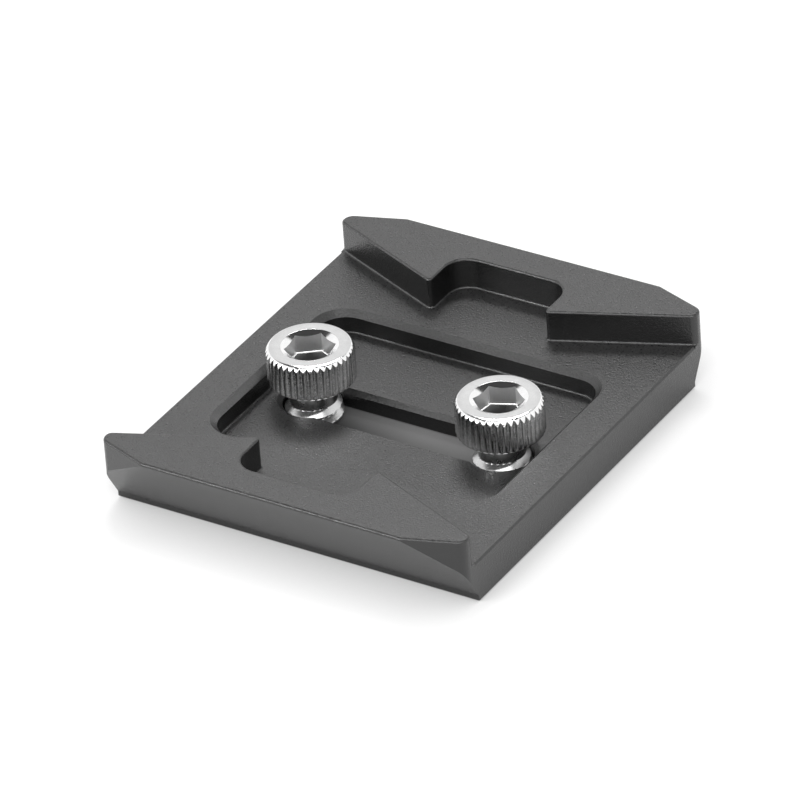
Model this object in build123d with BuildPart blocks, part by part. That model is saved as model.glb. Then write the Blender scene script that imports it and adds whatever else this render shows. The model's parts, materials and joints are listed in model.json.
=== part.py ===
from build123d import *
from math import atan2, radians, tan
import os

# Tripod quick release plate: a machined dovetail plate with two knurled camera screws in a keyhole slot.
# It lies camera face down on Z = 0, as it rests on a table, with its two locking rails facing up.
# X runs along the rails, Y across the dovetail, and the origin is the centre of the camera face.

# Dovetail block, millimetres and degrees
plate_length = 44.0
plate_width = 53.6  # across the sharp top edges of the dovetail
dovetail_angle = 30.0  # slant of the long sides from vertical
land_height = 0.75  # upright land below each slanted side
bevel_length = 6.9  # corner bevels of the rails, along X
bevel_width = 2.35  # corner bevels of the rails, along Y
bevel_nose_radius = 1.2  # between a corner bevel and the end face

# Rails and the channel between them
rail_height = 3.7
notch_wall = 4.25  # from a notch to the sharp top edge
notch_width = 14.1  # between the two tips of one rail
notch_depth = 5.75
notch_radius = 2.5
tip_radius = 0.4
nose_width = 1.52  # of a rail, at the ends of the plate
nose_inner_radius = 0.8  # where a rail's inner edge turns to the end face
nose_inset = 0.15  # from that turn's corner to the end face
nose_turn = radians(50.0)

# Camera screws
screw_spacing = 23.2
thread_diameter = 6.35
thread_length = 2.3
tip_chamfer = 0.5
neck_undercut = 0.625  # of the neck below the thread, on the radius
neck_play = 0.2  # of the neck along its axis, in the pocket floor
head_diameter = 9.53
head_height = 4.15
head_chamfer = 0.3  # at the underside of the head
head_chamfer_top = 0.6
knurl_teeth = 40
knurl_depth = 0.33
hex_across_flats = 4.8
hex_depth = 2.4
hex_chamfer = 0.7  # of the socket's round mouth
drill_undercut = 0.1  # of the drill that opened the socket, on the radius
drill_angle = 118.0  # of that drill's point
hex_turns = {"left": 36.6, "right": 23.3}  # how each screw happens to be turned

# Pocket in the channel floor
pocket_width = 25.6
pocket_depth = 2.65
pocket_floor = 2.25  # thickness left under it
pocket_radius = 3.0
pocket_chamfer = 0.7
head_clearance = 0.44  # from a screw head to the end of the pocket

# Keyhole slot through the pocket floor, clearances on the diameter
hole_clearance = 0.4  # round the thread at the slot's ends
slot_clearance = 0.5  # round the neck along the slot
slot_chamfer = 0.5

# Edge finish
rail_edge_radius = 0.28
root_radius = 0.25  # left by the cutter where walls meet floors
edge_break = 0.2

floor_z = pocket_floor + pocket_depth
plate_height = floor_z + rail_height
half_length = plate_length / 2
half_width = plate_width / 2
land_half_width = half_width - (plate_height - land_height) * tan(radians(dovetail_angle))
notch_y = half_width - notch_wall
tip_x = notch_width / 2
tip_y = notch_y - notch_depth
neck_diameter = thread_diameter - 2 * neck_undercut
neck_length = pocket_floor + neck_play
pocket_length = screw_spacing + head_diameter + 2 * head_clearance
hole_diameter = thread_diameter + hole_clearance
slot_width = neck_diameter + slot_clearance
beyond = 2.0  # how far the cutters reach past the block

os.makedirs("parts", exist_ok=True)

# Cutter for the channel: one quarter of its outline, mirrored twice, with the root radius on its lower edges
nose_x = half_length - nose_inset
nose_y = half_width - bevel_width - nose_width
rail_angle = atan2(nose_y - tip_y, nose_x - tip_x)
lead_x = half_length + nose_inset
lead_y = nose_y + (lead_x - nose_x) * tan(rail_angle + nose_turn)
with BuildPart() as channel:
    with BuildSketch(Plane.XY.offset(floor_z)) as channel_plan:
        with BuildLine():
            Polyline(
                (0, 0),
                (half_length + beyond, 0),
                (half_length + beyond, lead_y),
                (lead_x, lead_y),
                (nose_x, nose_y),
                (tip_x, tip_y),
                (tip_x, notch_y),
                (0, notch_y),
                close=True,
            )
        make_face()
        for corner, radius in (
            ((nose_x, nose_y), nose_inner_radius),
            ((tip_x, tip_y), tip_radius),
            ((tip_x, notch_y), notch_radius),
        ):
            fillet(channel_plan.vertices().sort_by_distance((*corner, floor_z))[0], radius=radius)
        mirror(about=Plane.YZ)
        mirror(about=Plane.XZ)
    extrude(amount=rail_height + beyond)
    fillet(channel.edges().group_by(Axis.Z)[0], radius=root_radius)

# Cutter for the pocket, with the root radius on its lower edges
with BuildPart() as pocket:
    with BuildSketch(Plane.XY.offset(pocket_floor)):
        RectangleRounded(pocket_length, pocket_width, pocket_radius)
    extrude(amount=pocket_depth)
    fillet(pocket.edges().group_by(Axis.Z)[0], radius=root_radius)

# Plate
with BuildPart() as plate:
    with BuildSketch(Plane.YZ):
        with BuildLine():
            Polyline(
                (-land_half_width, 0),
                (land_half_width, 0),
                (land_half_width, land_height),
                (half_width, plate_height),
                (-half_width, plate_height),
                (-land_half_width, land_height),
                close=True,
            )
        make_face()
    extrude(amount=half_length, both=True)
    chamfer(plate.edges().group_by(Axis.Z)[0], length=edge_break)

    # Corner bevels, upright and rounded at the ends of the plate
    with BuildSketch() as plan:
        with BuildLine():
            bevel_slope = bevel_width / bevel_length
            Polyline(
                (0, 0),
                (half_length, 0),
                (half_length, half_width - bevel_width),
                (half_length - bevel_length - beyond, half_width + beyond * bevel_slope),
                (0, half_width + beyond * bevel_slope),
                close=True,
            )
        make_face()
        nose = plan.vertices().sort_by_distance((half_length, half_width - bevel_width))[0]
        fillet(nose, radius=bevel_nose_radius)
        mirror(about=Plane.YZ)
        mirror(about=Plane.XZ)
    extrude(amount=plate_height, mode=Mode.INTERSECT)

    # Channel between the rails, and the round on the rails' top edges
    add(channel.part, mode=Mode.SUBTRACT)
    fillet(plate.faces().filter_by(Axis.Z).group_by(Axis.Z)[-1].edges(), radius=rail_edge_radius)

    # Edge break along both ends of the channel floor
    with BuildSketch(Plane.XZ):
        with BuildLine():
            Polyline(
                (half_length - 2 * edge_break, floor_z + edge_break),
                (half_length + edge_break, floor_z + edge_break),
                (half_length + edge_break, floor_z - 2 * edge_break),
                close=True,
            )
        make_face()
        mirror(about=Plane.YZ)
    extrude(amount=nose_y - root_radius, both=True, mode=Mode.SUBTRACT)

    # Pocket with its chamfered rim
    add(pocket.part, mode=Mode.SUBTRACT)
    chamfer(plate.edges(Select.LAST).group_by(Axis.Z)[-1], length=pocket_chamfer)

    # Keyhole slot: a screw drops in at either end and its neck runs along the slot
    with BuildSketch(Plane.XY.offset(pocket_floor)):
        Rectangle(screw_spacing, slot_width)
        with GridLocations(screw_spacing, 0, 2, 1):
            Circle(hole_diameter / 2)
    extrude(amount=-pocket_floor, mode=Mode.SUBTRACT)
    slot_rims = plate.edges(Select.LAST).group_by(Axis.Z)
    chamfer(slot_rims[-1], length=slot_chamfer)
    chamfer(slot_rims[0], length=edge_break)

plate.part.label = "plate"
export_step(plate.part, "parts/plate.step")

# Camera screws, standing on their tips in the ends of the slot with their necks free
head_z = thread_length + neck_length
head_top = head_z + head_height
groove_flare = 2 * knurl_depth  # half the width of a groove, as far outside the head as it is deep
mouth_align = (Align.CENTER, Align.CENTER, Align.MAX)
for side, screw_x in (("left", -screw_spacing / 2), ("right", screw_spacing / 2)):
    with BuildPart() as screw:
        screw_axis = Plane.XZ.move(Location((screw_x, 0, 0)))
        with BuildSketch(screw_axis):
            with BuildLine():
                Polyline(
                    (0, 0),
                    (thread_diameter / 2 - tip_chamfer, 0),
                    (thread_diameter / 2, tip_chamfer),
                    (thread_diameter / 2, thread_length - neck_undercut),
                    (neck_diameter / 2, thread_length),
                    (neck_diameter / 2, head_z),
                    (head_diameter / 2 - head_chamfer, head_z),
                    (head_diameter / 2, head_z + head_chamfer),
                    (head_diameter / 2, head_top - head_chamfer_top),
                    (head_diameter / 2 - head_chamfer_top, head_top),
                    (0, head_top),
                    close=True,
                )
            make_face()
        revolve(axis=Axis(screw_axis.origin, (0, 0, 1)))

        # Straight knurl: upright V grooves round the head
        with BuildSketch(Plane((screw_x, 0, head_z))):
            with PolarLocations(head_diameter / 2, knurl_teeth):
                Polygon((-knurl_depth, 0), (knurl_depth, -groove_flare), (knurl_depth, groove_flare), align=None)
        extrude(amount=head_height, mode=Mode.SUBTRACT)

        # Hexagon socket with a countersunk mouth and a drill point in its floor
        with BuildSketch(Plane((screw_x, 0, head_top))):
            RegularPolygon(hex_across_flats / 2, 6, major_radius=False, rotation=hex_turns[side])
        extrude(amount=-hex_depth, mode=Mode.SUBTRACT)
        with Locations((screw_x, 0, head_top)):
            mouth_radius = hex_across_flats / 2 + hex_chamfer
            Cone(hex_across_flats / 2, mouth_radius, hex_chamfer, align=mouth_align, mode=Mode.SUBTRACT)
        with Locations((screw_x, 0, head_top - hex_depth)):
            drill_radius = hex_across_flats / 2 - drill_undercut
            drill_point = drill_radius / tan(radians(drill_angle / 2))
            Cone(0, drill_radius, drill_point, align=mouth_align, mode=Mode.SUBTRACT)
    screw.part.label = f"screw_{side}"
    export_step(screw.part, f"parts/screw_{side}.step")
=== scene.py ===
"""Finishes the tripod quick release plate, turns its camera screws and sets a white studio round them."""

import json
from math import cos, pi, radians, sin, tan

import bmesh
import bpy
from bpy.props import FloatProperty, FloatVectorProperty, IntProperty, PointerProperty
from bpy.types import Operator, Panel, PropertyGroup
from mathutils import Matrix, Vector


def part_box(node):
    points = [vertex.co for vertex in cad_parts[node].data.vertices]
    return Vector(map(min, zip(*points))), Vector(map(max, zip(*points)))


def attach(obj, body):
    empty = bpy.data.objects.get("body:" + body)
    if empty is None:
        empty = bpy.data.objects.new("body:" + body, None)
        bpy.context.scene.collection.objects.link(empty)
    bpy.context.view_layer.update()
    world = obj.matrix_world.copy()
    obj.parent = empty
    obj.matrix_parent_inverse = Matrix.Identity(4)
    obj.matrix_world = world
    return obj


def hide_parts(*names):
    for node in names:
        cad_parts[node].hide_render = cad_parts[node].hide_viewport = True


bl_info = {
    "name": "Tripod quick release plate",
    "version": (1, 0, 0),
    "blender": (4, 5, 0),
    "location": "3D View > Sidebar > Release plate",
    "description": "Finishes an anodised dovetail plate and turns its knurled camera screws",
    "category": "Object",
}

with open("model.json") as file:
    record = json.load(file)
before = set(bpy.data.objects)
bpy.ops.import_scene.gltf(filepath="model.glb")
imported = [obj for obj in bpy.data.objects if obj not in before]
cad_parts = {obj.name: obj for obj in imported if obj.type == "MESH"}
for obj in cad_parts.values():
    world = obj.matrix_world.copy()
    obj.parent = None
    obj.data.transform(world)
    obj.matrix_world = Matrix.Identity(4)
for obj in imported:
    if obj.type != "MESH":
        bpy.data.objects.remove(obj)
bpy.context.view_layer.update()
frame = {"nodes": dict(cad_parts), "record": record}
finishes = {finish["slot"]: finish for finish in frame["record"]["materials"]}
PHOTO_SIZE = 800  # pixels along each side of the photograph
MILLIMETRE = 0.001
MID_NOISE = {"From Min": 0.35, "From Max": 0.65}  # where most values of a noise lie
WIDE_NOISE = {"From Min": 0.3, "From Max": 0.7}


class PlateFinish(PropertyGroup):
    """Finish of the anodised plate"""

    colour: FloatVectorProperty(
        name="Anodise colour",
        description="Reflected colour of the black anodised metal",
        subtype="COLOR",
        size=3,
        min=0,
        max=1,
        default=(0.018, 0.018, 0.018),
    )
    roughness: FloatProperty(
        name="Roughness",
        description="How far the bead blasted faces spread reflections",
        subtype="FACTOR",
        min=0,
        max=1,
        default=0.36,
    )
    wall_roughness: FloatProperty(
        name="Wall roughness",
        description="How far the smooth milled walls and edges spread reflections",
        subtype="FACTOR",
        min=0,
        max=1,
        default=0.2,
    )
    gloss: FloatProperty(
        name="Gloss",
        description="Strength of the anodised layer's own reflection",
        subtype="FACTOR",
        min=0,
        max=1,
        default=0.7,
    )
    grain_size: FloatProperty(
        name="Blast grain",
        description="Width of the pits that the bead blast leaves",
        unit="LENGTH",
        default=0.22 * MILLIMETRE,
    )
    grain_depth: FloatProperty(
        name="Grain depth",
        description="Depth of the pits that the bead blast leaves",
        unit="LENGTH",
        default=0.06 * MILLIMETRE,
    )
    grain_spread: FloatProperty(
        name="Grain spread",
        description="How much the roughness changes from pit to pit",
        subtype="FACTOR",
        min=0,
        max=1,
        default=0.1,
    )
    grain_contrast: FloatProperty(
        name="Grain contrast",
        description="How much the colour changes from pit to pit",
        subtype="FACTOR",
        min=0,
        max=1,
        default=0.75,
    )
    # Painted shade: faces that do not look up get this share of the anodise colour, so the walls read
    # darker; only their roughness is the milled finish.
    wall_painted_shade: FloatProperty(
        name="Wall shade",
        description="Colour of the smooth milled walls against that of the blasted faces",
        subtype="FACTOR",
        min=0,
        max=1,
        default=0.15,
    )


class ScrewSizes(PropertyGroup):
    """Sizes and finish of the camera screws"""

    colour: FloatVectorProperty(
        name="Steel colour",
        description="Reflected colour of the polished steel",
        subtype="COLOR",
        size=3,
        min=0,
        max=1,
        default=finishes["screws"]["base_color"][:3],
    )
    roughness: FloatProperty(
        name="Roughness",
        description="How far the polish spreads reflections",
        subtype="FACTOR",
        min=0,
        max=1,
        default=0.12,
    )
    ring_roughness: FloatProperty(
        name="Ring roughness",
        description="How far the satin ring round the socket spreads reflections",
        subtype="FACTOR",
        min=0,
        max=1,
        default=0.18,
    )
    knurl_roughness: FloatProperty(
        name="Knurl roughness",
        description="How far the rolled knurl spreads reflections",
        subtype="FACTOR",
        min=0,
        max=1,
        default=0.17,
    )
    turned_roughness: FloatProperty(
        name="Turned roughness",
        description="How far the turned neck and thread spread reflections",
        subtype="FACTOR",
        min=0,
        max=1,
        default=0.28,
    )
    # Painted shade: the neck and thread under the head get this darker copy of the steel colour.
    turned_painted_shade: FloatProperty(
        name="Turned shade",
        description="Colour of the turned neck and thread against that of the polished steel",
        subtype="FACTOR",
        min=0,
        max=1,
        default=0.7,
    )
    socket_roughness: FloatProperty(
        name="Socket roughness",
        description="How far the broached socket spreads reflections",
        subtype="FACTOR",
        min=0,
        max=1,
        default=0.4,
    )
    # Painted shade: the socket floor down in the hexagon gets this darker copy of the steel colour.
    socket_floor_painted_shade: FloatProperty(
        name="Socket floor shade",
        description="Colour of the drilled floor of the socket against that of the polished steel",
        subtype="FACTOR",
        min=0,
        max=1,
        default=0.1,
    )
    thread_diameter: FloatProperty(
        name="Thread diameter",
        description="Outside diameter of the camera thread",
        unit="LENGTH",
        default=6.35 * MILLIMETRE,
    )
    thread_pitch: FloatProperty(
        name="Thread pitch",
        description="Rise of the thread in one turn, a twentieth of an inch",
        unit="LENGTH",
        default=1.27 * MILLIMETRE,
    )
    thread_depth: FloatProperty(
        name="Thread depth",
        description="From crest to root, on the radius",
        unit="LENGTH",
        default=0.68 * MILLIMETRE,
    )
    thread_length: FloatProperty(
        name="Thread length",
        description="From the tip to the neck",
        unit="LENGTH",
        default=2.3 * MILLIMETRE,
    )
    tip_chamfer: FloatProperty(
        name="Tip chamfer",
        description="Chamfer at the tip of the thread",
        unit="LENGTH",
        default=0.5 * MILLIMETRE,
    )
    neck_diameter: FloatProperty(
        name="Neck diameter",
        description="Diameter of the plain neck under the head",
        unit="LENGTH",
        default=5.1 * MILLIMETRE,
    )
    head_height: FloatProperty(
        name="Head height",
        description="Height of the knurled head",
        unit="LENGTH",
        default=4.15 * MILLIMETRE,
    )
    knurl_teeth: IntProperty(
        name="Knurl teeth",
        description="Straight teeth round the head",
        default=40,
    )
    knurl_depth: FloatProperty(
        name="Knurl depth",
        description="Depth of the grooves between the teeth",
        unit="LENGTH",
        default=0.3 * MILLIMETRE,
    )
    hex_across_flats: FloatProperty(
        name="Socket across flats",
        description="Width of the hexagon socket",
        unit="LENGTH",
        default=4.8 * MILLIMETRE,
    )
    hex_depth: FloatProperty(
        name="Socket depth",
        description="Depth of the hexagon socket",
        unit="LENGTH",
        default=2.4 * MILLIMETRE,
    )
    hex_chamfer: FloatProperty(
        name="Socket chamfer",
        description="Countersunk mouth of the hexagon socket, on the radius",
        unit="LENGTH",
        default=0.7 * MILLIMETRE,
    )
    countersink_angle: FloatProperty(
        name="Countersink angle",
        description="Angle between opposite sides of the socket's countersunk mouth",
        subtype="ANGLE",
        default=radians(120),
    )
    drill_undercut: FloatProperty(
        name="Drill undercut",
        description="How much smaller than the socket the drill that opened it is, on the radius",
        unit="LENGTH",
        default=0.1 * MILLIMETRE,
    )
    drill_angle: FloatProperty(
        name="Drill angle",
        description="Angle of the point of the drill that opened the socket",
        subtype="ANGLE",
        default=radians(118),
    )
    hex_turn_left: FloatProperty(
        name="Left screw turned",
        description="Angle of a corner of the left screw's socket from X",
        subtype="ANGLE",
        default=radians(36.6),
    )
    hex_turn_right: FloatProperty(
        name="Right screw turned",
        description="Angle of a corner of the right screw's socket from X",
        subtype="ANGLE",
        default=radians(23.3),
    )


class StudioSettings(PropertyGroup):
    """Camera, floor and lights"""

    azimuth: FloatProperty(
        name="Camera azimuth",
        description="Angle of the camera round the plate, from the front",
        subtype="ANGLE",
        default=radians(33.61),
    )
    elevation: FloatProperty(
        name="Camera elevation",
        description="Angle of the camera above the table",
        subtype="ANGLE",
        default=radians(32.66),
    )
    roll: FloatProperty(
        name="Camera roll",
        description="Lean of the camera about its own axis",
        subtype="ANGLE",
        default=radians(-4.22),
    )
    distance: FloatProperty(
        name="Camera distance",
        description="From the camera to the centre of the rail tops",
        unit="LENGTH",
        default=0.8321,
    )
    scale: FloatProperty(
        name="Pixels per metre",
        description="Scale of the photograph at the centre of the rail tops",
        default=9565.5,
    )
    centre_across: FloatProperty(
        name="Centre across",
        description="Pixels from the photograph's left edge to the centre of the rail tops",
        default=403.8,
    )
    centre_down: FloatProperty(
        name="Centre down",
        description="Pixels from the photograph's top edge to the centre of the rail tops",
        default=373.3,
    )
    floor_colour: FloatVectorProperty(
        name="Floor colour",
        description="Colour of the pale table",
        subtype="COLOR",
        size=3,
        min=0,
        max=1,
        default=(0.4, 0.4, 0.4),
    )
    floor_glow: FloatProperty(
        name="Floor glow",
        description="Light added to the table where it is seen, so that it reads as white paper",
        default=0.67,
    )
    # Painted shadow: shadow_reach and contact_shade shape a contact shadow that ambient occlusion paints
    # into the table's glow.
    shadow_reach: FloatProperty(
        name="Shadow reach",
        description="How far the soft shadow reaches from the foot of the plate",
        unit="LENGTH",
        default=8 * MILLIMETRE,
    )
    contact_shade: FloatProperty(
        name="Contact shade",
        description="Share of the floor glow that is left where the plate touches the table",
        subtype="FACTOR",
        min=0,
        max=1,
        default=0.1,
    )
    # Painted shade: the table's colour and glow inside the slot are cut to this share at most, graded
    # across the slot.
    slot_shade: FloatProperty(
        name="Slot shade",
        description="Most of the table's light that is left inside the slot",
        subtype="FACTOR",
        min=0,
        max=1,
        default=0.33,
    )
    room_light: FloatProperty(
        name="Room light",
        description="Strength of the dim room round the lights",
        default=0.06,
    )
    side_wall_light: FloatProperty(
        name="Side wall light",
        description="Strength of the white walls left and right of the table",
        default=1.2,
    )
    side_wall_height: FloatProperty(
        name="Side wall height",
        description="Height of the side walls, in times their distance",
        default=1.5,
    )
    back_wall_light: FloatProperty(
        name="Back wall light",
        description="Strength of the white wall behind the table",
        default=0.85,
    )
    back_wall_height: FloatProperty(
        name="Back wall height",
        description="Height of the back wall, in times its distance",
        default=1.2,
    )
    back_power: FloatProperty(
        name="Back softbox",
        description="Power of the softbox behind the plate",
        unit="POWER",
        default=3.0,
    )
    front_power: FloatProperty(
        name="Front softbox",
        description="Power of the softbox above the camera",
        unit="POWER",
        default=7.5,
    )
    strip_power: FloatProperty(
        name="Strip light",
        description="Power of the long low strip light in front, on the left",
        unit="POWER",
        default=6.0,
    )


def add_node(tree, kind, values=None, **settings):
    """Adds a shader node, with its settings and the values of its inputs."""
    node = tree.nodes.new(kind)
    for name, value in settings.items():
        setattr(node, name, value)
    for name, value in (values or {}).items():
        node.inputs[name].default_value = value
    return node


def new_material(name):
    """A new material, its node tree and its surface shader."""
    material = bpy.data.materials.new(name)
    material.use_nodes = True
    tree = material.node_tree
    return material, tree, tree.nodes["Principled BSDF"]


def anodised_finish(look):
    """Black anodised aluminium, bead blasted where it looks up and smooth on the milled walls and edges,
    with painted shade that darkens the colour of every face that does not look up.
    """
    walls, faces = 0.45, 0.65  # how far walls look up at most, and blasted faces at least
    material, tree, shader = new_material("black_anodised")
    shader.inputs["Specular IOR Level"].default_value = look.gloss
    place = add_node(tree, "ShaderNodeTexCoord")
    grain = add_node(tree, "ShaderNodeTexNoise", {"Detail": 3.0, "Roughness": 0.6})
    grain.inputs["Scale"].default_value = 1 / look.grain_size
    tree.links.new(place.outputs["Object"], grain.inputs["Vector"])

    shade = add_node(tree, "ShaderNodeMapRange", MID_NOISE)
    shade.inputs["To Min"].default_value = -look.grain_contrast
    shade.inputs["To Max"].default_value = look.grain_contrast
    tree.links.new(grain.outputs["Fac"], shade.inputs["Value"])
    facing = add_node(tree, "ShaderNodeSeparateXYZ")
    tree.links.new(place.outputs["Normal"], facing.inputs["Vector"])
    upward = add_node(tree, "ShaderNodeClamp")
    tree.links.new(facing.outputs["Z"], upward.inputs["Value"])
    # blasted holds painted shade: the colour falls to the wall share where the face does not look up
    blasted = add_node(tree, "ShaderNodeMapRange", {"To Min": look.wall_painted_shade})
    tree.links.new(upward.outputs["Result"], blasted.inputs["Value"])
    level = add_node(tree, "ShaderNodeMath", operation="MULTIPLY_ADD")
    tree.links.new(shade.outputs["Result"], level.inputs[0])
    tree.links.new(upward.outputs["Result"], level.inputs[1])
    tree.links.new(blasted.outputs["Result"], level.inputs[2])
    tint = add_node(tree, "ShaderNodeVectorMath", operation="SCALE")
    tint.inputs[0].default_value = look.colour
    tree.links.new(level.outputs["Value"], tint.inputs["Scale"])
    tree.links.new(tint.outputs["Vector"], shader.inputs["Base Color"])

    milled = add_node(tree, "ShaderNodeMapRange", {"From Min": walls, "From Max": faces})
    milled.inputs["To Min"].default_value = look.wall_roughness
    milled.inputs["To Max"].default_value = look.roughness
    tree.links.new(upward.outputs["Result"], milled.inputs["Value"])
    uneven = add_node(tree, "ShaderNodeMapRange", MID_NOISE)
    uneven.inputs["To Min"].default_value = -look.grain_spread
    uneven.inputs["To Max"].default_value = look.grain_spread
    tree.links.new(grain.outputs["Fac"], uneven.inputs["Value"])
    spread = add_node(tree, "ShaderNodeMath", operation="MULTIPLY_ADD")
    tree.links.new(uneven.outputs["Result"], spread.inputs[0])
    tree.links.new(upward.outputs["Result"], spread.inputs[1])
    tree.links.new(milled.outputs["Result"], spread.inputs[2])
    tree.links.new(spread.outputs["Value"], shader.inputs["Roughness"])

    bump = add_node(tree, "ShaderNodeBump", {"Distance": look.grain_depth})
    tree.links.new(grain.outputs["Fac"], bump.inputs["Height"])
    tree.links.new(bump.outputs["Normal"], shader.inputs["Normal"])
    return material


def steel_finish(name, colour, roughness, mark_size, mark_depth, mark_contrast=0.035):
    """Bright steel with faint handling marks, which also change its roughness a little."""
    uneven = 0.05
    material, tree, shader = new_material(name)
    shader.inputs["Metallic"].default_value = 1.0
    place = add_node(tree, "ShaderNodeTexCoord")
    marks = add_node(tree, "ShaderNodeTexNoise", {"Detail": 4.0, "Roughness": 0.65})
    marks.inputs["Scale"].default_value = 1 / mark_size
    tree.links.new(place.outputs["Object"], marks.inputs["Vector"])

    shade = add_node(tree, "ShaderNodeMapRange", WIDE_NOISE)
    shade.inputs["To Min"].default_value = 1 - mark_contrast
    shade.inputs["To Max"].default_value = 1 + mark_contrast
    tree.links.new(marks.outputs["Fac"], shade.inputs["Value"])
    tint = add_node(tree, "ShaderNodeVectorMath", operation="SCALE")
    tint.inputs[0].default_value = colour
    tree.links.new(shade.outputs["Result"], tint.inputs["Scale"])
    tree.links.new(tint.outputs["Vector"], shader.inputs["Base Color"])

    spread = add_node(tree, "ShaderNodeMapRange", WIDE_NOISE)
    spread.inputs["To Min"].default_value = (1 - uneven) * roughness
    spread.inputs["To Max"].default_value = (1 + uneven) * roughness
    tree.links.new(marks.outputs["Fac"], spread.inputs["Value"])
    tree.links.new(spread.outputs["Result"], shader.inputs["Roughness"])

    bump = add_node(tree, "ShaderNodeBump", {"Distance": mark_depth})
    tree.links.new(marks.outputs["Fac"], bump.inputs["Height"])
    tree.links.new(bump.outputs["Normal"], shader.inputs["Normal"])
    return material


def arc(centre, radius, start, end, steps):
    """Points of an arc in the (radius, height) plane, from one angle to another, both included."""
    turn = (end - start) / steps
    return [
        (centre[0] + radius * cos(start + i * turn), centre[1] + radius * sin(start + i * turn))
        for i in range(steps + 1)
    ]


def rounds(start, arcs):
    """Points along arcs of (radius, first angle, last angle, steps) that run on from one another."""
    points = [start]
    for radius, first, last, steps in arcs:
        r, z = points[-1]
        centre = (r - radius * cos(first), z - radius * sin(first))
        points += arc(centre, radius, first, last, steps)[1:]
    return points


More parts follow.
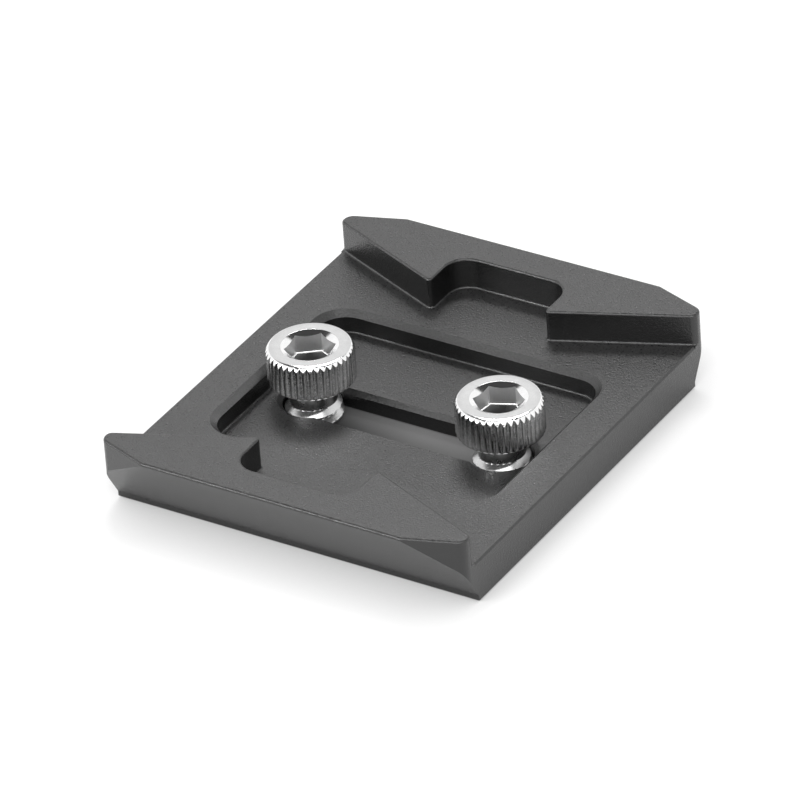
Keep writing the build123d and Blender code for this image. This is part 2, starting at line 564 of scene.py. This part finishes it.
class ScrewForm:
    """The surface of a camera screw, as rings from its tip up over the head and down into the socket."""

    ROUND = 12  # steps round one tooth of the knurl
    THREAD_ROWS = 44
    NECK_FILLET = 0.2 * MILLIMETRE
    LOWER_CHAMFER = 0.3 * MILLIMETRE
    HEAD_EDGE = (
        (0.95 * MILLIMETRE, 0, radians(48), 14),
        (0.25 * MILLIMETRE, radians(48), radians(76), 6),
        (1.6 * MILLIMETRE, radians(76), radians(90), 8),
    )  # from the knurled side up to the flat top
    MOUTH_ROUND = 0.08 * MILLIMETRE
    FOOT_ROUND = 0.14 * MILLIMETRE
    FOOT_STEPS = 6
    CREST_SHARE = 0.14  # of the pitch, flat at the crest
    ROOT_SHARE = 0.2  # of the pitch, flat at the root
    DRILL_SHARES = (1, 0.7, 0.4, 0.1, 0.01)  # of the drill's radius, from its rim to its point
    SHARP_EDGE = radians(38)
    SAME_POINT = 1e-7  # points that are closer than this are one

    def __init__(self, sizes, head_radius, height, corner):
        self.sizes = sizes
        self.head_radius = head_radius
        self.height = height
        self.corner = corner
        self.steps = self.ROUND * sizes.knurl_teeth
        self.head_z = height - sizes.head_height
        self.rings = []
        self.row_steels = []
        self.steel = "turned"

    def angles(self):
        """The angle of each step round the screw, from a corner of the socket."""
        return [self.corner + 2 * pi * i / self.steps for i in range(self.steps)]

    def add_ring(self, radius_at, height_at):
        """One ring of points, from a radius and a height that may change with the angle."""
        ring = []
        for i, angle in enumerate(self.angles()):
            radius = radius_at(i, angle)
            ring.append((radius * cos(angle), radius * sin(angle), height_at(i, angle)))
        self.rings.append(ring)
        self.row_steels.append(self.steel)

    def add_turned(self, points):
        """Plain turned rings through points of (radius, height)."""
        for radius, z in points:
            self.add_ring(lambda i, angle: radius, lambda i, angle: z)

    def thread_radius(self, z, angle):
        """Radius of a right-hand thread at a height and an angle."""
        sizes = self.sizes
        phase = (z / sizes.thread_pitch - angle / (2 * pi)) % 1
        away = abs(phase - 0.5) * 2  # 0 at the middle of a crest, 1 at the middle of a root
        flank = (away - self.CREST_SHARE) / (1 - self.CREST_SHARE - self.ROOT_SHARE)
        return sizes.thread_diameter / 2 - sizes.thread_depth * min(max(flank, 0), 1)

    def add_thread(self):
        """The thread, with its chamfered tip and its run-out into the neck."""
        self.steel = "turned"
        sizes = self.sizes
        outside, neck = sizes.thread_diameter / 2, sizes.neck_diameter / 2
        for row in range(self.THREAD_ROWS + 1):
            z = sizes.thread_length * row / self.THREAD_ROWS
            tip = outside - sizes.tip_chamfer + z
            run_out = neck + sizes.thread_length - z
            limit = min(outside, tip, run_out)
            self.add_ring(
                lambda i, angle: min(limit, max(self.thread_radius(z, angle), neck - sizes.tip_chamfer)),
                lambda i, angle: z,
            )

    def add_neck(self):
        """The plain neck, with a small fillet under the head."""
        neck = self.sizes.neck_diameter / 2
        fillet = self.NECK_FILLET
        self.add_turned([(neck, self.sizes.thread_length)])
        self.add_turned(arc((neck + fillet, self.head_z - fillet), fillet, pi, pi / 2, 6))

    def tooth_radius(self, i):
        """Radius of the knurl at a step round the head: round crests and sharp roots."""
        share = (i % self.ROUND) / self.ROUND
        return self.head_radius - self.sizes.knurl_depth * (1 - sin(pi * share))

    def add_knurled(self, points):
        """Turned rings that the knurl cuts into."""
        for radius, z in points:
            self.add_ring(lambda i, angle: min(radius, self.tooth_radius(i)), lambda i, angle: z)

    def add_head(self):
        """The knurled side and the rounds between it and the flat top."""
        outside, top = self.head_radius, self.height
        lower, edge = self.LOWER_CHAMFER, rounds((0, 0), self.HEAD_EDGE)
        shoulder = top - edge[-1][1]
        self.add_turned([(outside - 1.5 * lower, self.head_z)])
        self.steel = "knurled"
        self.add_knurled([(outside - lower + lower * k / 4, self.head_z + lower * k / 4) for k in range(5)])
        side, rows = shoulder - self.head_z - lower, 6
        self.add_knurled([(outside, self.head_z + lower + side * k / rows) for k in range(1, rows + 1)])
        self.steel = "polished"
        self.add_knurled([(outside + r, shoulder + z) for r, z in edge[1:]])

    def hex_radius(self, i):
        """Radius of the hexagon at a step round the socket, with a corner at step 0."""
        side = self.steps // 6
        off_flat = ((i % side) / side - 0.5) * pi / 3
        return self.sizes.hex_across_flats / 2 / cos(off_flat)

    def add_socket(self):
        """The countersunk mouth, the six walls and the floor of the socket."""
        sizes, top = self.sizes, self.height
        mouth = sizes.hex_across_flats / 2 + sizes.hex_chamfer
        edge, foot = self.MOUTH_ROUND, self.FOOT_ROUND
        lean = (pi - sizes.countersink_angle) / 2
        centre = (mouth + edge * tan(lean / 2), top - edge)
        rim = arc(centre, edge, pi / 2, pi / 2 + lean, 4)
        self.steel = "satin"
        self.add_turned(rim[:1])
        self.steel = "polished"
        self.add_turned(rim[1:])
        floor = top - sizes.hex_depth
        self.add_ring(
            lambda i, angle: self.hex_radius(i),
            lambda i, angle: top - (mouth - self.hex_radius(i)) * tan(lean),
        )
        for k in range(self.FOOT_STEPS + 1):
            self.steel = "polished" if k else "broached"
            bend = k / self.FOOT_STEPS * pi / 2
            self.add_ring(
                lambda i, angle: self.hex_radius(i) - foot * (1 - cos(bend)),
                lambda i, angle: floor + foot * (1 - sin(bend)),
            )
        self.steel = "drilled"
        drill = sizes.hex_across_flats / 2 - sizes.drill_undercut
        slope = 1 / tan(sizes.drill_angle / 2)
        shares = self.DRILL_SHARES
        self.add_turned([(drill * share, floor - drill * (1 - share) * slope) for share in shares])

    def mesh(self, name, x, steels):
        """The closed mesh of the screw, standing at x, with the steels in this order."""
        self.add_thread()
        self.add_neck()
        self.add_head()
        self.add_socket()
        form = bmesh.new()
        rows = [[form.verts.new((px + x, py, pz)) for px, py, pz in ring] for ring in self.rings]
        for lower, upper, steel in zip(rows, rows[1:], self.row_steels[1:]):
            for i in range(self.steps):
                j = (i + 1) % self.steps
                face = form.faces.new((lower[i], lower[j], upper[j], upper[i]))
                face.material_index = steels.index(steel)
        for ring, steel, flip in ((rows[0], "turned", True), (rows[-1], "drilled", False)):
            hub = form.verts.new((x, 0, ring[0].co.z))
            for i in range(self.steps):
                first, second = ring[i], ring[(i + 1) % self.steps]
                face = form.faces.new((second, first, hub) if flip else (first, second, hub))
                face.material_index = steels.index(steel)
        bmesh.ops.remove_doubles(form, verts=form.verts, dist=self.SAME_POINT)
        bmesh.ops.recalc_face_normals(form, faces=form.faces)
        mesh = bpy.data.meshes.new(name)
        form.to_mesh(mesh)
        form.free()
        mesh.shade_smooth()
        mesh.set_sharp_from_angle(angle=self.SHARP_EDGE)
        return mesh


class RELEASE_OT_finish_plate(Operator):
    """Give the plate its black anodised finish"""

    bl_idname = "release.finish_plate"
    bl_label = "Finish plate"

    def execute(self, context):
        plate = frame["nodes"]["plate"]
        plate.data.materials.clear()
        plate.data.materials.append(anodised_finish(context.scene.plate_finish))
        return {"FINISHED"}


class RELEASE_OT_turn_screws(Operator):
    """Turn the two camera screws, with their knurl, thread and socket"""

    bl_idname = "release.turn_screws"
    bl_label = "Turn screws"

    def execute(self, context):
        sizes = context.scene.screw_sizes
        colour = Vector(sizes.colour)
        # painted shade on the floor of the socket
        dark = colour * sizes.socket_floor_painted_shade
        # painted shade under the head, on the neck and thread
        neck_shaded_colour = colour * sizes.turned_painted_shade
        broad, fine = 0.7 * MILLIMETRE, 0.3 * MILLIMETRE  # widths of the marks
        micron = MILLIMETRE / 1000
        steels = {
            "polished": steel_finish("polished_steel", colour, sizes.roughness, broad, 1.2 * micron),
            "satin": steel_finish("satin_steel", colour, sizes.ring_roughness, broad, 0.2 * micron),
            "knurled": steel_finish("knurled_steel", colour, sizes.knurl_roughness, fine, 15 * micron, 0.3),
            "turned": steel_finish("turned_steel_painted_shade", neck_shaded_colour, sizes.turned_roughness, broad, 2 * micron),
            "broached": steel_finish("broached_steel", colour, sizes.socket_roughness, fine, 5 * micron),
            "drilled": steel_finish("drilled_steel_painted_shade", dark, sizes.socket_roughness, fine, 5 * micron),
        }
        for side, corner in (("left", sizes.hex_turn_left), ("right", sizes.hex_turn_right)):
            node = f"screw_{side}"
            low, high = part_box(node)
            form = ScrewForm(sizes, (high.y - low.y) / 2, high.z, corner)
            mesh = form.mesh(f"camera_screw_{side}", (low.x + high.x) / 2, list(steels))
            for steel in steels.values():
                mesh.materials.append(steel)
            screw = bpy.data.objects.new(mesh.name, mesh)
            context.scene.collection.objects.link(screw)
            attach(screw, node)
            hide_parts(node)
        return {"FINISHED"}


def camera_axes(studio):
    """The camera's own right, up and back, rolled."""
    a, e, r = studio.azimuth, studio.elevation, studio.roll
    right = Vector((cos(a), sin(a), 0))
    up = Vector((-sin(e) * sin(a), sin(e) * cos(a), cos(e)))
    back = right.cross(up)
    return cos(r) * right + sin(r) * up, cos(r) * up - sin(r) * right, back


def add_camera(context, studio):
    """The camera at the photograph's viewing angle."""
    lens = bpy.data.cameras.new("camera")
    lens.lens = studio.scale * studio.distance / PHOTO_SIZE * lens.sensor_width
    lens.shift_x = 0.5 - studio.centre_across / PHOTO_SIZE
    lens.shift_y = studio.centre_down / PHOTO_SIZE - 0.5
    lens.clip_start, lens.clip_end = 0.01, 100
    right, up, back = camera_axes(studio)
    rail_tops = Vector((0, 0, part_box("plate")[1].z))
    camera = bpy.data.objects.new("camera", lens)
    turn = Matrix((right, up, back)).transposed().to_4x4()
    camera.matrix_world = Matrix.Translation(rail_tops + back * studio.distance) @ turn
    context.scene.collection.objects.link(camera)
    context.scene.camera = camera


def add_floor(context, studio):
    """A wide pale table that reads as white where it is seen, with painted shade under the plate and graded
    across its slot, and a painted contact shadow round the plate's foot.
    """
    radius, sides = 4.0, 96
    drop = 0.01 * MILLIMETRE  # keeps the table clear of the camera face
    # Painted shade: within these distances of the plate's centre the table's colour and glow are darkened,
    # and across the slot they grow lighter towards the far right.
    slot_end, open_table = 0.0155, 0.02  # from the plate's centre
    slot_dark, slot_light = -0.0045, 0.0055  # where the light in the slot starts and stops growing
    slot_light_way = (0.25, 1, 0)
    material, tree, shader = new_material("white_table")
    shader.inputs["Roughness"].default_value = 0.9
    shader.inputs["Specular IOR Level"].default_value = 0.1
    place = add_node(tree, "ShaderNodeTexCoord")
    fibre = add_node(tree, "ShaderNodeTexNoise", {"Scale": 900.0, "Detail": 2.0})
    tree.links.new(place.outputs["Object"], fibre.inputs["Vector"])
    shade = add_node(tree, "ShaderNodeMapRange", {"To Min": 0.99, "To Max": 1.0})
    tree.links.new(fibre.outputs["Fac"], shade.inputs["Value"])
    away = add_node(tree, "ShaderNodeVectorMath", operation="LENGTH")
    tree.links.new(place.outputs["Object"], away.inputs[0])
    beside = add_node(tree, "ShaderNodeMapRange", interpolation_type="SMOOTHSTEP")
    beside.inputs["From Min"].default_value = slot_end
    beside.inputs["From Max"].default_value = open_table
    tree.links.new(away.outputs["Value"], beside.inputs["Value"])
    inward = add_node(tree, "ShaderNodeVectorMath", operation="DOT_PRODUCT")
    inward.inputs[1].default_value = slot_light_way
    tree.links.new(place.outputs["Object"], inward.inputs[0])
    in_slot = add_node(tree, "ShaderNodeMapRange", {"From Min": slot_dark, "From Max": slot_light})
    in_slot.inputs["To Max"].default_value = studio.slot_shade
    tree.links.new(inward.outputs["Value"], in_slot.inputs["Value"])
    # painted shade under the plate and in the slot, for both the table's colour and its glow
    under = add_node(tree, "ShaderNodeMath", operation="MAXIMUM")
    tree.links.new(beside.outputs["Result"], under.inputs[0])
    tree.links.new(in_slot.outputs["Result"], under.inputs[1])
    darken = add_node(tree, "ShaderNodeMath", operation="MULTIPLY")
    tree.links.new(shade.outputs["Result"], darken.inputs[0])
    tree.links.new(under.outputs["Value"], darken.inputs[1])
    tint = add_node(tree, "ShaderNodeVectorMath", operation="SCALE")
    tint.inputs[0].default_value = studio.floor_colour
    tree.links.new(darken.outputs["Value"], tint.inputs["Scale"])
    tree.links.new(tint.outputs["Vector"], shader.inputs["Base Color"])
    path = add_node(tree, "ShaderNodeLightPath")
    seen = add_node(tree, "ShaderNodeMath", operation="MAXIMUM")
    either = add_node(tree, "ShaderNodeMath", operation="MAXIMUM")
    tree.links.new(path.outputs["Is Camera Ray"], either.inputs[0])
    tree.links.new(path.outputs["Is Glossy Ray"], either.inputs[1])
    tree.links.new(either.outputs["Value"], seen.inputs[0])
    tree.links.new(path.outputs["Is Transmission Ray"], seen.inputs[1])
    # painted contact shadow: the glow is cut where the plate hides the table's sky
    open_sky = add_node(tree, "ShaderNodeAmbientOcclusion", {"Distance": studio.shadow_reach}, samples=16)
    contact = add_node(tree, "ShaderNodeMapRange", {"To Max": studio.floor_glow})
    contact.inputs["To Min"].default_value = studio.contact_shade * studio.floor_glow
    tree.links.new(open_sky.outputs["AO"], contact.inputs["Value"])
    level = add_node(tree, "ShaderNodeMath", operation="MULTIPLY")
    tree.links.new(contact.outputs["Result"], level.inputs[0])
    tree.links.new(under.outputs["Value"], level.inputs[1])
    glow = add_node(tree, "ShaderNodeMath", operation="MULTIPLY")
    tree.links.new(seen.outputs["Value"], glow.inputs[0])
    tree.links.new(level.outputs["Value"], glow.inputs[1])
    shader.inputs["Emission Color"].default_value = (1, 1, 1, 1)
    tree.links.new(glow.outputs["Value"], shader.inputs["Emission Strength"])

    form = bmesh.new()
    bmesh.ops.create_circle(form, cap_ends=True, segments=sides, radius=radius)
    bmesh.ops.translate(form, verts=form.verts, vec=(0, 0, -drop))
    mesh = bpy.data.meshes.new("table")
    form.to_mesh(mesh)
    form.free()
    mesh.materials.append(material)
    table = bpy.data.objects.new("table", mesh)
    context.scene.collection.objects.link(table)


def add_wall(tree, place, axis, both_sides, height, strength):
    """The light of a white wall that stands along an axis, or of two walls that face each other."""
    soft_edge = 0.08  # of the wall's top
    toward = add_node(tree, "ShaderNodeVectorMath", operation="DOT_PRODUCT")
    toward.inputs[1].default_value = axis
    tree.links.new(place.outputs["Generated"], toward.inputs[0])
    reach = toward.outputs["Value"]
    if both_sides:
        mirrored = add_node(tree, "ShaderNodeMath", operation="ABSOLUTE")
        tree.links.new(reach, mirrored.inputs[0])
        reach = mirrored.outputs["Value"]
    split = add_node(tree, "ShaderNodeSeparateXYZ")
    tree.links.new(place.outputs["Generated"], split.inputs["Vector"])
    top = add_node(tree, "ShaderNodeMath", operation="MULTIPLY")
    top.inputs[1].default_value = height
    tree.links.new(reach, top.inputs[0])
    below_top = add_node(tree, "ShaderNodeMath", operation="SUBTRACT")
    tree.links.new(top.outputs["Value"], below_top.inputs[0])
    tree.links.new(split.outputs["Z"], below_top.inputs[1])
    light = add_node(tree, "ShaderNodeMapRange", {"From Max": soft_edge}, interpolation_type="SMOOTHSTEP")
    light.inputs["To Max"].default_value = strength
    tree.links.new(below_top.outputs["Value"], light.inputs["Value"])
    return light.outputs["Result"]


def light_room(context, studio):
    """A dim room with three white walls in it, open at the top and towards the camera."""
    world = bpy.data.worlds.new("studio")
    context.scene.world = world
    world.use_nodes = True
    tree = world.node_tree
    place = add_node(tree, "ShaderNodeTexCoord")
    across = (cos(studio.azimuth), sin(studio.azimuth), 0)
    away = (-sin(studio.azimuth), cos(studio.azimuth), 0)
    sides = add_wall(tree, place, across, True, studio.side_wall_height, studio.side_wall_light)
    back = add_wall(tree, place, away, False, studio.back_wall_height, studio.back_wall_light)
    walls = add_node(tree, "ShaderNodeMath", operation="MAXIMUM")
    tree.links.new(sides, walls.inputs[0])
    tree.links.new(back, walls.inputs[1])
    light = add_node(tree, "ShaderNodeMath", operation="MAXIMUM")
    light.inputs[1].default_value = studio.room_light
    tree.links.new(walls.outputs["Value"], light.inputs[0])
    background = tree.nodes["Background"]
    background.inputs["Color"].default_value = (1, 1, 1, 1)
    tree.links.new(light.outputs["Value"], background.inputs["Strength"])


def add_softbox(context, name, azimuth, elevation, width, height, power):
    """A rectangular softbox a metre from the plate, facing it, with its azimuth from the front."""
    lamp = bpy.data.lights.new(name, "AREA")
    lamp.shape = "RECTANGLE"
    lamp.size, lamp.size_y = width, height
    lamp.energy = power
    place = Vector((sin(azimuth) * cos(elevation), -cos(azimuth) * cos(elevation), sin(elevation)))
    softbox = bpy.data.objects.new(name, lamp)
    softbox.location = place
    softbox.rotation_mode = "QUATERNION"
    softbox.rotation_quaternion = place.to_track_quat("Z", "Y")
    context.scene.collection.objects.link(softbox)


class RELEASE_OT_set_stage(Operator):
    """Set the white table, the studio light and the camera"""

    bl_idname = "release.set_stage"
    bl_label = "Set stage"

    def execute(self, context):
        studio = context.scene.studio_settings
        add_floor(context, studio)
        light_room(context, studio)
        add_softbox(
            context,
            "softbox_back",
            azimuth=studio.azimuth + pi - radians(6),
            elevation=radians(56),
            width=0.35,
            height=0.21,
            power=studio.back_power,
        )
        add_softbox(
            context,
            "strip_left",
            azimuth=radians(-30),
            elevation=radians(20),
            width=0.9,
            height=0.16,
            power=studio.strip_power,
        )
        add_softbox(
            context,
            "softbox_front",
            azimuth=studio.azimuth,
            elevation=radians(42),
            width=0.9,
            height=0.7,
            power=studio.front_power,
        )
        add_camera(context, studio)
        context.scene.view_settings.view_transform = "Standard"
        return {"FINISHED"}


class RELEASE_PT_plate(Panel):
    """Lists the steps that dress the plate"""

    bl_label = "Release plate"
    bl_idname = "RELEASE_PT_plate"
    bl_space_type = "VIEW_3D"
    bl_region_type = "UI"
    bl_category = "Release plate"

    def draw(self, context):
        for operator, settings in (
            (RELEASE_OT_finish_plate, context.scene.plate_finish),
            (RELEASE_OT_turn_screws, context.scene.screw_sizes),
            (RELEASE_OT_set_stage, context.scene.studio_settings),
        ):
            box = self.layout.box()
            box.operator(operator.bl_idname)
            for name in settings.__annotations__:
                box.prop(settings, name)


classes = (
    PlateFinish,
    ScrewSizes,
    StudioSettings,
    RELEASE_OT_finish_plate,
    RELEASE_OT_turn_screws,
    RELEASE_OT_set_stage,
    RELEASE_PT_plate,
)


def register():
    for cls in classes:
        bpy.utils.register_class(cls)
    bpy.types.Scene.plate_finish = PointerProperty(type=PlateFinish)
    bpy.types.Scene.screw_sizes = PointerProperty(type=ScrewSizes)
    bpy.types.Scene.studio_settings = PointerProperty(type=StudioSettings)


def unregister():
    del bpy.types.Scene.studio_settings
    del bpy.types.Scene.screw_sizes
    del bpy.types.Scene.plate_finish
    for cls in reversed(classes):
        bpy.utils.unregister_class(cls)


def main():
    register()
    bpy.ops.release.finish_plate()
    bpy.ops.release.turn_screws()
    bpy.ops.release.set_stage()


if __name__ == "__main__":
    main()
